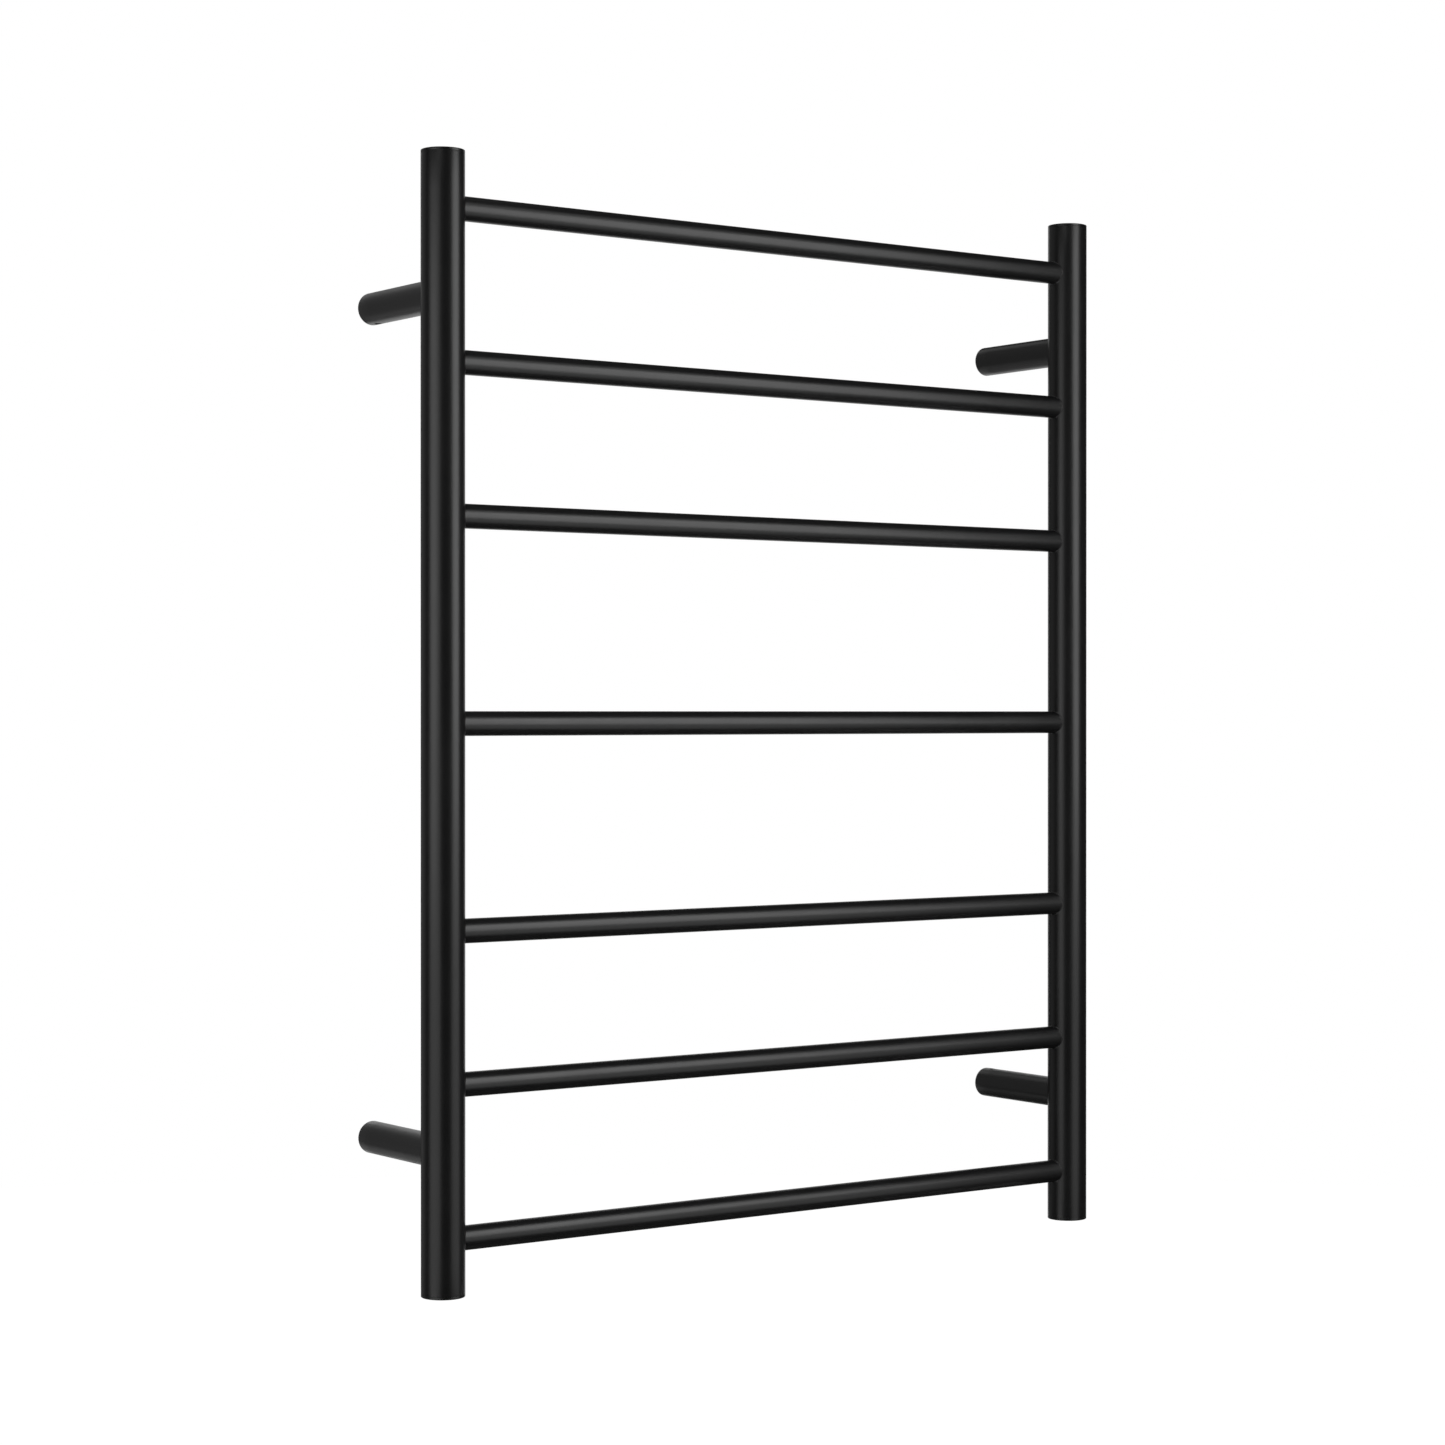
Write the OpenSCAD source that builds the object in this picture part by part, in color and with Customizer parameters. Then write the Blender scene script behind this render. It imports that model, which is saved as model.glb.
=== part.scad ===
// Wall-mounted electric towel rack. Two upright posts carry seven round bars in
// a three, one, three rhythm. Four standoffs behind the posts slide over bosses
// that are screwed to the wall, and a grub screw in each standoff clamps it.
// A heating cable is threaded through posts and bars as one long serpentine.
//
// Frame: the origin is on the wall plane, at the centre of the four fixing
// holes. +Y points into the wall and +Z up, so the rack lies at y < 0 and its
// front faces -Y. Lengths are in millimetres.

/* [Posts] */
// Outer diameter of the two posts
post_d = 32; // [30:1:40]
// Wall thickness of the post tube
post_wall = 1.5; // [1:0.1:2.5]
// Overall height over both end caps
rack_h = 825; // [815:5:1000]
// Distance between the axes of the two posts
post_spacing = 600; // [400:10:900]

/* [Bars] */
// Outer diameter of the bars
bar_d = 18; // [16:1:22]
// Wall thickness of the bar tube
bar_wall = 1.2; // [0.8:0.1:1.6]
// Distance from the middle bar to the nearest bar of each outer group
group_offset = 150; // [110:1:152]
// Distance between neighbouring bars of an outer group
bar_pitch = 111; // [80:1:112]

/* [Standoffs] */
// Outer diameter of the standoffs
standoff_d = 24; // [24:1:30]
// Wall thickness of the standoff tube
standoff_wall = 2; // [1.6:0.1:2.4]
// Distance from the outermost bar to the standoff axis, measured along the post
standoff_inset = 63; // [50:1:70]
// Distance from the wall to the post axis
wall_gap = 104; // [100:1:130]

/* [Wall bosses] */
// Length of the boss that the standoff slides over
boss_len = 20; // [16:1:24]
// Diameter of the hole for the wall screw
screw_hole_d = 5; // [4:0.5:6]
// Diameter of the countersink for the head of the wall screw
screw_head_d = 10; // [8:0.5:11]
// Width of the slot that lets the supply lead past the wall screw
lead_slot_w = 7; // [6:0.5:8]

/* [Grub screws] */
// Thread diameter of the grub screws
grub_d = 5; // [4:1:5]
// Length of the grub screws
grub_len = 4; // [3:0.5:4]
// Distance from the wall to the grub screw axis
grub_inset = 10; // [6:0.5:12]
// Depth of the grub screw below the crown of the standoff
grub_recess = 1; // [0.6:0.1:1.2]

/* [Heating cable] */
// Outer diameter of the heating cable
cable_d = 5; // [4:0.5:6]
// Radius of the cable's bends, at the middle of the cable
cable_bend_r = 12; // [10:1:13]
// Length of the cable's dead end, below its last bend
cable_tail = 18; // [10:1:30]

/* [Hidden] */

$fn = 96;

// Sides of the rack and signs of direction
LEFT = -1;
RIGHT = 1;
TOP = 1;
BOTTOM = -1;

COATED = "#1b1b1d";
ALUMINIUM = "#b4b6b8";
SCREW_STEEL = "#2c2d30";
ZINC_STEEL = "#9a9c9f";
BRASS = "#b6924a";
SILICONE = "#8c2f26";
SHRINK_TUBE = "#202224";
RUBBER = "#303030";
EARTH_GREEN = "#5d9a33";

post_r = post_d / 2;
post_bore_r = post_r - post_wall;
post_x = post_spacing / 2;
post_y = -wall_gap;

cap_t = 2;
cap_edge_r = 0.5;
cap_skirt_len = 8;
cap_skirt_t = 1.5;
cap_skirt_gap = 0.1;
post_top = rack_h / 2 - cap_t;

bar_r = bar_d / 2;
bar_bore_r = bar_r - bar_wall;
// Heights of the bars, from the top one down
bar_z = [
    group_offset + 2 * bar_pitch, group_offset + bar_pitch, group_offset,
    0,
    -group_offset, -group_offset - bar_pitch, -group_offset - 2 * bar_pitch,
];
last_bar = len(bar_z) - 1;

standoff_r = standoff_d / 2;
standoff_bore_r = standoff_r - standoff_wall;
standoff_z = bar_z[0] - standoff_inset;
standoff_edge = 0.5;
// Opening in the back of the post behind each standoff
post_back_hole_r = 8;

boss_gap = 0.1;
boss_r = standoff_bore_r - boss_gap;
boss_edge = 0.6;
grub_r = grub_d / 2;
grub_gap = 0.05;
grub_edge = 0.4;
grub_top = standoff_r - grub_recess;
grub_tip = grub_top - grub_len;
// Height of the two flats that the grub screw bears on
boss_flat = grub_tip - grub_gap;
lead_slot_depth = boss_r - screw_head_d / 2 - 0.6;
hex_key_af = 2.5;
hex_key_depth = 2;

cable_r = cable_d / 2;
// The cable lies on the bottom of each bar's bore
cable_drop = bar_bore_r - cable_r - 0.1;
end_seal_r = 3.75;
end_seal_len = 24;
end_seal_grip = 8;

// Pieces inside the wired standoff, from the wall inwards
grommet_y = -28;
grommet_len = 6;
grommet_groove = 1.2;
lead_hole_r = 3.3;
sleeve_y = -42;
sleeve_len = 34;
sleeve_r = 8;
sleeve_end = 2;
// How far the supply lead enters the sleeve
lead_entry = 12;

// Earth connection on the front wall of the left post
stud_r = 2;
stud_collar_r = 3.2;
stud_collar_h = 2;
lug_t = 0.8;
washer_t = 0.6;
nut_t = 3.2;
nut_af = 7;
stud_tip_over = 1.4;
lug_ring_r = 4.2;
lug_barrel_r = 1.7;
lug_barrel_len = 7;
earth_wire_r = 1;
// Height of the earth wire above the standoff axis
earth_wire_rise = 6;
stud_root_y = post_y - post_bore_r;
lug_y = stud_root_y + stud_collar_h;
washer_y = lug_y + lug_t;
nut_y = washer_y + washer_t;
stud_tip_y = nut_y + nut_t + stud_tip_over;

overcut = 1;

// ---- Helpers ----

function across_corners(af) = af / cos(30);

// A rod along X, Y or Z, from one coordinate to the other
module rod_x(r, x0, x1) {
    translate([x0, 0, 0]) rotate([0, 90, 0]) cylinder(r = r, h = x1 - x0);
}

module rod_y(r, y0, y1) {
    translate([0, y0, 0]) rotate([-90, 0, 0]) cylinder(r = r, h = y1 - y0);
}

module rod_z(r, z0, z1) {
    translate([0, 0, z0]) cylinder(r = r, h = z1 - z0);
}

// Turns a shape made round +Z from z = 0 so that it grows from the wall to -Y
module from_wall() {
    rotate([90, 0, 0]) children();
}

module at_post(side) {
    translate([side * post_x, post_y, 0]) children();
}

module at_standoff(side, level) {
    translate([side * post_x, 0, level * standoff_z]) children();
}

// The space that a post takes up, for cutting saddles
module post_envelope(side) {
    at_post(side) rod_z(post_r, -rack_h, rack_h);
}

// ---- Posts and end caps ----

module post(side) {
    color(COATED) difference() {
        at_post(side) difference() {
            rod_z(post_r, -post_top, post_top);
            rod_z(post_bore_r, -post_top - overcut, post_top + overcut);
        }
        // One hole for each bar, as wide as the bar's bore
        for (z = bar_z) {
            translate([0, post_y, z])
                rod_x(bar_bore_r, side > 0 ? 0 : -post_x, side > 0 ? post_x : 0);
        }
        // One hole behind each standoff
        for (level = [TOP, BOTTOM]) {
            at_standoff(side, level) rod_y(post_back_hole_r, post_y, 0);
        }
    }
}

// Half section of a cap: a disc with a rounded rim, and a skirt below it
module cap_section() {
    disc_r = post_r - cap_edge_r;
    skirt_r = post_bore_r - cap_skirt_gap;
    square([disc_r, cap_t]);
    square([post_r, cap_t - cap_edge_r]);
    translate([disc_r, cap_t - cap_edge_r]) circle(r = cap_edge_r);
    translate([skirt_r - cap_skirt_t, -cap_skirt_len]) square([cap_skirt_t, cap_skirt_len]);
}

module end_cap(side, level) {
    color(COATED) at_post(side) mirror([0, 0, level > 0 ? 0 : 1])
        translate([0, 0, post_top]) rotate_extrude() cap_section();
}

// ---- Bars ----

// A tube whose ends are cut to the curve of the posts
module bar(index) {
    color(COATED) difference() {
        translate([0, post_y, bar_z[index]]) difference() {
            rod_x(bar_r, -post_x, post_x);
            rod_x(bar_bore_r, -post_x - overcut, post_x + overcut);
        }
        post_envelope(LEFT);
        post_envelope(RIGHT);
    }
}

// ---- Standoffs, bosses and grub screws ----

// The grub screw enters from below on the left post and from above on the
// right post, because the two posts are one part turned over.
module on_grub_axis(side, level) {
    at_standoff(side, level) translate([0, -grub_inset, 0])
        mirror([0, 0, side > 0 ? 0 : 1]) children();
}

module standoff(side, level) {
    color(COATED) difference() {
        at_standoff(side, level) from_wall() rotate_extrude() polygon([
            [standoff_bore_r, 0],
            [standoff_r - standoff_edge, 0],
            [standoff_r, standoff_edge],
            [standoff_r, wall_gap],
            [standoff_bore_r, wall_gap],
        ]);
        post_envelope(side);
        on_grub_axis(side, level) rod_z(grub_r + grub_gap, 0, standoff_r + overcut);
    }
}

// A short cylinder with two flats, a countersunk hole and a slot for the lead
module wall_boss(side, level) {
    color(ALUMINIUM) at_standoff(side, level) difference() {
        intersection() {
            from_wall() rotate_extrude() polygon([
                [0, 0],
                [boss_r, 0],
                [boss_r, boss_len - boss_edge],
                [boss_r - boss_edge, boss_len],
                [0, boss_len],
            ]);
            translate([-boss_r, -boss_len, -boss_flat])
                cube([2 * boss_r, boss_len, 2 * boss_flat]);
        }
        rod_y(screw_hole_d / 2, -boss_len - overcut, overcut);
        from_wall() translate([0, 0, boss_len - screw_head_d / 2])
            cylinder(r1 = 0, r2 = screw_head_d / 2 + overcut, h = screw_head_d / 2 + overcut);
        translate([boss_r - lead_slot_depth, -boss_len - overcut, -lead_slot_w / 2])
            cube([boss_r, boss_len + 2 * overcut, lead_slot_w]);
    }
}

module grub_screw(side, level) {
    color(SCREW_STEEL) on_grub_axis(side, level) difference() {
        rotate_extrude() polygon([
            [0, grub_tip],
            [grub_r - grub_edge, grub_tip],
            [grub_r, grub_tip + grub_edge],
            [grub_r, grub_top - grub_edge],
            [grub_r - grub_edge, grub_top],
            [0, grub_top],
        ]);
        translate([0, 0, grub_top - hex_key_depth])
            cylinder(d = across_corners(hex_key_af), h = hex_key_depth + overcut, $fn = 6);
    }
}

// ---- Heating cable ----

function cable_z(index) = bar_z[index] - cable_drop;

// A quarter bend in the plane of the rack, from a start angle counted from +X
// towards +Z
module bend_in_rack(x, z, start) {
    translate([x, post_y, z]) rotate([90, 0, 0]) rotate([0, 0, start])
        rotate_extrude(angle = 90) translate([cable_bend_r, 0]) circle(r = cable_r);
}

// The run through one bar, between the bends at its two ends
module cable_run(index) {
    reach = post_x - cable_bend_r;
    translate([0, post_y, cable_z(index)]) rod_x(cable_r, -reach, reach);
}

// The climb inside a post from one bar to the bar above it
module cable_climb(side, index) {
    low = cable_z(index) + cable_bend_r;
    high = cable_z(index - 1) - cable_bend_r;
    bend_x = side * (post_x - cable_bend_r);
    bend_in_rack(bend_x, low, side > 0 ? 270 : 180);
    at_post(side) rod_z(cable_r, low, high);
    bend_in_rack(bend_x, high, side > 0 ? 0 : 90);
}

// From the splice in the lower left standoff, down the post and into the
// lowest bar
module cable_start() {
    bend_y = post_y + cable_bend_r;
    turn_z = -standoff_z - cable_bend_r;
    low = cable_z(last_bar) + cable_bend_r;
    at_standoff(LEFT, BOTTOM) rod_y(cable_r, bend_y, sleeve_y - sleeve_len);
    translate([-post_x, bend_y, turn_z]) rotate([90, 0, 90]) rotate([0, 0, 90])
        rotate_extrude(angle = 90) translate([cable_bend_r, 0]) circle(r = cable_r);
    at_post(LEFT) rod_z(cable_r, low, turn_z);
    bend_in_rack(-post_x + cable_bend_r, low, 180);
}

// From the highest bar down into the right post, where the cable ends
module cable_finish() {
    top = cable_z(0) - cable_bend_r;
    bend_in_rack(post_x - cable_bend_r, top, 0);
    at_post(RIGHT) rod_z(cable_r, top - cable_tail, top);
}

module heating_cable() {
    color(SILICONE) union() {
        cable_start();
        for (index = [0:last_bar]) {
            cable_run(index);
        }
        // The lowest climb is in the right post, and they alternate from there
        for (index = [1:last_bar]) {
            cable_climb((last_bar - index) % 2 == 0 ? RIGHT : LEFT, index);
        }
        cable_finish();
    }
}

// A shrunk cap over the dead end of the cable
module cable_end_seal() {
    end_z = cable_z(0) - cable_bend_r - cable_tail;
    color(SHRINK_TUBE) at_post(RIGHT) difference() {
        rod_z(end_seal_r, end_z + end_seal_grip - end_seal_len, end_z + end_seal_grip);
        rod_z(cable_r, end_z, end_z + end_seal_grip + overcut);
    }
}

// ---- Pieces in the wired standoff ----

// Joint between the supply lead and the heating cable, in shrunk tube
module splice_sleeve() {
    color(SHRINK_TUBE) at_standoff(LEFT, BOTTOM) translate([0, sleeve_y, 0])
        from_wall() rotate_extrude() polygon([
            [lead_hole_r, 0],
            [sleeve_r - sleeve_end, 0],
            [sleeve_r, sleeve_end],
            [sleeve_r, sleeve_len],
            [0, sleeve_len],
            [0, lead_entry],
            [lead_hole_r, lead_entry],
        ]);
}

// Rubber bush with a lip at each end, in which the supply lead is held
module cable_grommet() {
    lip_r = standoff_bore_r - boss_gap;
    lip = grommet_len / 3;
    color(RUBBER) at_standoff(LEFT, BOTTOM) translate([0, grommet_y, 0])
        from_wall() rotate_extrude() polygon([
            [lead_hole_r, 0],
            [lip_r, 0],
            [lip_r, lip],
            [lip_r - grommet_groove, lip],
            [lip_r - grommet_groove, 2 * lip],
            [lip_r, 2 * lip],
            [lip_r, grommet_len],
            [lead_hole_r, grommet_len],
        ]);
}

// ---- Earth connection ----

// A stud welded inside the front wall of the post, on the standoff axis
module earth_stud() {
    color(ZINC_STEEL) intersection() {
        at_standoff(LEFT, BOTTOM) union() {
            rod_y(stud_r, stud_root_y - overcut, stud_tip_y);
            rod_y(stud_collar_r, stud_root_y - overcut, lug_y);
        }
        at_post(LEFT) rod_z(post_bore_r, -rack_h, rack_h);
    }
}

// A ring terminal whose barrel is turned towards the wall
module earth_lug() {
    color(BRASS) at_standoff(LEFT, BOTTOM) difference() {
        union() {
            rod_y(lug_ring_r, lug_y, washer_y);
            translate([-lug_barrel_r, lug_y, 0])
                cube([2 * lug_barrel_r, lug_t, earth_wire_rise]);
            translate([0, 0, earth_wire_rise])
                rod_y(lug_barrel_r, lug_y, lug_y + lug_barrel_len);
        }
        rod_y(stud_r + grub_gap, lug_y - overcut, washer_y + overcut);
        translate([0, 0, earth_wire_rise])
            rod_y(earth_wire_r, washer_y, lug_y + lug_barrel_len + overcut);
    }
}

module earth_washer() {
    color(ZINC_STEEL) at_standoff(LEFT, BOTTOM) difference() {
        rod_y(nut_af / 2, washer_y, nut_y);
        rod_y(stud_r + grub_gap, washer_y - overcut, nut_y + overcut);
    }
}

module earth_nut() {
    color(ZINC_STEEL) at_standoff(LEFT, BOTTOM) difference() {
        translate([0, nut_y, 0]) rotate([-90, 0, 0])
            cylinder(d = across_corners(nut_af), h = nut_t, $fn = 6);
        rod_y(stud_r + grub_gap, nut_y - overcut, nut_y + nut_t + overcut);
    }
}

// From the splice to the barrel of the ring terminal
module earth_wire() {
    color(EARTH_GREEN) at_standoff(LEFT, BOTTOM) translate([0, 0, earth_wire_rise])
        rod_y(earth_wire_r, washer_y, sleeve_y - sleeve_len);
}

post(LEFT);  // post_left
post(RIGHT);  // post_right
end_cap(LEFT, TOP);  // end_cap_left_top
end_cap(LEFT, BOTTOM);  // end_cap_left_bottom
end_cap(RIGHT, TOP);  // end_cap_right_top
end_cap(RIGHT, BOTTOM);  // end_cap_right_bottom
bar(0);  // bar_1
bar(1);  // bar_2
bar(2);  // bar_3
bar(3);  // bar_4
bar(4);  // bar_5
bar(5);  // bar_6
bar(6);  // bar_7
standoff(LEFT, TOP);  // standoff_left_top
standoff(LEFT, BOTTOM);  // standoff_left_bottom
standoff(RIGHT, TOP);  // standoff_right_top
standoff(RIGHT, BOTTOM);  // standoff_right_bottom
wall_boss(LEFT, TOP);  // wall_boss_left_top
wall_boss(LEFT, BOTTOM);  // wall_boss_left_bottom
wall_boss(RIGHT, TOP);  // wall_boss_right_top
wall_boss(RIGHT, BOTTOM);  // wall_boss_right_bottom
grub_screw(LEFT, TOP);  // grub_screw_left_top
grub_screw(LEFT, BOTTOM);  // grub_screw_left_bottom
grub_screw(RIGHT, TOP);  // grub_screw_right_top
grub_screw(RIGHT, BOTTOM);  // grub_screw_right_bottom
heating_cable();
cable_end_seal();
splice_sleeve();
cable_grommet();
earth_stud();
earth_lug();
earth_washer();
earth_nut();
earth_wire();
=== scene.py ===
"""Looks of the towel warmer rack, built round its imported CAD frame.

Every piece is rebuilt at its CAD node's size as a finer mesh, with the weld fillets,
joint lines, threads and rounded edges of the real object. Lengths are in metres.
"""

import math

import bmesh
import bpy
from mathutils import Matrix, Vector


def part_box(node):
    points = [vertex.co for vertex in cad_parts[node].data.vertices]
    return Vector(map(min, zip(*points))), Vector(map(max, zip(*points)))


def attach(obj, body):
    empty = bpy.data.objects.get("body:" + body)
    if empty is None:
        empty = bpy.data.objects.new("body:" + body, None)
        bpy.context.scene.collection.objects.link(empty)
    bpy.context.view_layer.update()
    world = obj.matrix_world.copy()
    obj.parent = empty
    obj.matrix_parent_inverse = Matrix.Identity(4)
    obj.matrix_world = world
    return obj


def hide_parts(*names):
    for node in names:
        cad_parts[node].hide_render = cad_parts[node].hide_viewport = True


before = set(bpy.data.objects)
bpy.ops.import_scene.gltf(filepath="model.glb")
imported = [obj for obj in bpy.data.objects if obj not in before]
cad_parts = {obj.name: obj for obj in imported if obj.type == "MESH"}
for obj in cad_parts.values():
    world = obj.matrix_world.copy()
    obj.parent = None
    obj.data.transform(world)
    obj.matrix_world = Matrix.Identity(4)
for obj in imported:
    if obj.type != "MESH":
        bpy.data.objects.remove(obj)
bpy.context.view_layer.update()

X = Vector((1, 0, 0))
Y = Vector((0, 1, 0))
Z = Vector((0, 0, 1))
MM = 0.001
TURN = 2 * math.pi

SIDES = ("left", "right")
LEVELS = ("top", "bottom")
CORNERS = [f"{side}_{level}" for side in SIDES for level in LEVELS]
BARS = [f"bar_{index}" for index in range(1, 8)]

# ---- Sizes read from the frame ----


def middle(node):
    low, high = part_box(node)
    return (low + high) / 2


def extent(node):
    low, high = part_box(node)
    return high - low


POST_R = extent("post_left").x / 2
POST_Y = middle("post_left").y
POST_X = {side: middle(f"post_{side}").x for side in SIDES}
POST_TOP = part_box("post_left")[1].z
CAP_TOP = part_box("end_cap_left_top")[1].z
BAR_R = extent("bar_1").z / 2
STANDOFF_R = extent("standoff_left_top").x / 2
STANDOFF_Z = {level: middle(f"standoff_left_{level}").z for level in LEVELS}
WALL_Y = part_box("standoff_left_top")[1].y
GRUB_R = extent("grub_screw_left_top").x / 2
CABLE_R = POST_X["left"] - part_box("heating_cable")[0].x

# ---- Sizes that the frame's boxes don't give ----

POST_WALL = 1.5 * MM
BAR_WALL = 1.2 * MM
STANDOFF_WALL = 2.0 * MM
BACK_HOLE_R = 8 * MM
WELD_LEG = 1.2 * MM
# Share of the fillet's leg that is lost where the tube and the post meet flatly
WELD_THINNING = 0.75
# How far a welded end reaches into the skin of its post
BURIED = 0.3 * MM
TUBE_EDGE = 0.25 * MM
CAP_EDGE = 0.5 * MM
CAP_SKIRT = 8 * MM
CAP_SKIRT_WALL = 1.5 * MM
CAP_SKIRT_GAP = 0.1 * MM
STANDOFF_EDGE = 0.5 * MM
GRUB_HOLE_GAP = 0.05 * MM
GRUB_HOLE_CHAMFER = 0.5 * MM

POST_SEGMENTS = 144
TUBE_SEGMENTS = 96
HOLE_SEGMENTS = 64
FILLET_STEPS = 8
EDGE_STEPS = 5

# ---- Mesh helpers ----


def polar(origin, along, across):
    """Cylinder coordinates round a line: a function of distance, radius and angle."""
    up = along.cross(across)

    def point(distance, radius, angle):
        spoke = across * math.cos(angle) + up * math.sin(angle)
        return origin + along * distance + spoke * radius

    return point


def angles(count):
    return [TURN * step / count for step in range(count)]


def piece_from(name, bm):
    """A new object in the scene that holds a finished mesh."""
    mesh = bpy.data.meshes.new(name)
    bm.to_mesh(mesh)
    bm.free()
    piece = bpy.data.objects.new(name, mesh)
    bpy.context.scene.collection.objects.link(piece)
    return piece


def skin(name, rings, closed=False, sharp_deg=35):
    """A mesh through rings of points. A ring of one point is a pole."""
    bm = bmesh.new()
    made = [[bm.verts.new(point) for point in ring] for ring in rings]
    pairs = list(zip(made, made[1:]))
    if closed:
        pairs.append((made[-1], made[0]))
    for first, second in pairs:
        count = max(len(first), len(second))
        for i in range(count):
            j = (i + 1) % count
            if len(first) == 1:
                bm.faces.new((first[0], second[j], second[i]))
            elif len(second) == 1:
                bm.faces.new((first[i], first[j], second[0]))
            else:
                bm.faces.new((first[i], first[j], second[j], second[i]))
    bmesh.ops.recalc_face_normals(bm, faces=bm.faces)
    piece = piece_from(name, bm)
    smooth(piece.data, sharp_deg)
    return piece


def smooth(mesh, sharp_deg):
    """Smooth shading, except where faces meet at more than sharp_deg."""
    mesh.shade_smooth()
    mesh.set_sharp_from_angle(angle=math.radians(sharp_deg))


def turned(name, point, profile, segments, closed=True):
    """A shape turned round an axis, from (distance, radius) pairs."""
    rings = []
    for distance, radius in profile:
        steps = angles(segments) if radius > 0 else [0]
        rings.append([point(distance, radius, angle) for angle in steps])
    return skin(name, rings, closed)


def arc(centre, radius, start_deg, end_deg, steps):
    """Points of a round edge in a profile, as (distance, radius) pairs."""
    points = []
    for step in range(steps + 1):
        angle = math.radians(start_deg + (end_deg - start_deg) * step / steps)
        points.append((centre[0] + radius * math.cos(angle),
                       centre[1] + radius * math.sin(angle)))
    return points


def combine(piece, others, operation, sharp_deg=35):
    """Joins or cuts the piece with others, which are used up."""
    for other in others:
        modifier = piece.modifiers.new("combine", "BOOLEAN")
        modifier.operation = operation
        modifier.solver = "EXACT"
        modifier.object = other
    graph = bpy.context.evaluated_depsgraph_get()
    mesh = bpy.data.meshes.new_from_object(piece.evaluated_get(graph))
    piece.modifiers.clear()
    piece.data = mesh
    smooth(mesh, sharp_deg)
    for other in others:
        bpy.data.objects.remove(other)
    return piece


def cut(piece, cutters):
    return combine(piece, cutters, "DIFFERENCE")


def cutter_rod(origin, along, across, start, end, radius):
    """A round rod along a line, for cutting a hole."""
    profile = [(start, 0), (start, radius), (end, radius), (end, 0)]
    return turned("cutter", polar(origin, along, across), profile, HOLE_SEGMENTS, False)


def box_between(low, high):
    """A closed box, for cutting or joining."""
    corners = [Vector((x, y, z)) for z in (low.z, high.z)
               for x, y in ((low.x, low.y), (high.x, low.y), (high.x, high.y), (low.x, high.y))]
    bm = bmesh.new()
    made = [bm.verts.new(corner) for corner in corners]
    bm.faces.new(made[3::-1])
    bm.faces.new(made[4:])
    for i in range(4):
        j = (i + 1) % 4
        bm.faces.new((made[i], made[j], made[j + 4], made[i + 4]))
    return piece_from("cutter", bm)


# ---- Tubes that end in a saddle on a post ----


def saddle(radius, angle):
    """Distance from the post's axis at which a tube's skin meets the post."""
    return math.sqrt(POST_R**2 - (radius * math.cos(angle)) ** 2)


def weld_ring(radius, angle, step):
    """Radius and reach of one point of the concave fillet round a saddle.

    The fillet is a curve from the tube's skin to the post's skin, pulled towards
    the line where the two would meet. Step 0 is on the tube and 1 on the post.
    It is full above and below the tube and thin where the two skins meet flatly.
    """
    leg = WELD_LEG * (1 - WELD_THINNING * math.cos(angle) ** 2)
    reach = saddle(radius, angle)
    slope = radius * abs(math.cos(angle)) / POST_R
    foot_radius = radius + leg * math.sqrt(1 - slope**2)
    foot_reach = saddle(foot_radius, angle)
    on_tube, corner, on_post = (1 - step) ** 2, 2 * step * (1 - step), step**2
    return (
        (on_tube + corner) * radius + on_post * foot_radius,
        on_tube * (reach + leg) + corner * reach + on_post * foot_reach,
    )


def weld_end(point, radius, place, sign):
    """The rings of one welded end, from the tube's plain skin to the buried rim.

    place is the post axis along the tube, and sign points from it to the tube.
    """
    rings = []
    for step in range(FILLET_STEPS + 1):
        ring = []
        for angle in angles(TUBE_SEGMENTS):
            wide, reach = weld_ring(radius, angle, step / FILLET_STEPS)
            ring.append(point(place + sign * reach, wide, angle))
        rings.append(ring)
    foot = []
    for angle in angles(TUBE_SEGMENTS):
        wide, reach = weld_ring(radius, angle, 1)
        foot.append(point(place + sign * (reach - BURIED), wide, angle))
    rings.append(foot)
    return rings


def bore_end(point, bore, place, sign):
    """The ring where a tube's bore ends in the skin of the post."""
    ring = []
    for angle in angles(TUBE_SEGMENTS):
        ring.append(point(place + sign * (saddle(bore, angle) - BURIED), bore, angle))
    return ring


def bar(node):
    """A tube between the two posts."""
    point = polar(Vector((0, POST_Y, middle(node).z)), X, Y)
    bore = BAR_R - BAR_WALL
    left, right = POST_X["left"], POST_X["right"]
    rings = weld_end(point, BAR_R, left, 1)[::-1] + weld_end(point, BAR_R, right, -1)
    rings += [bore_end(point, bore, right, -1), bore_end(point, bore, left, 1)]
    return skin(f"{node}_fine", rings, closed=True)


def grub_direction(corner):
    """The grub screws enter from below on the left post and above on the right."""
    return -Z if corner.startswith("left") else Z


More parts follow.
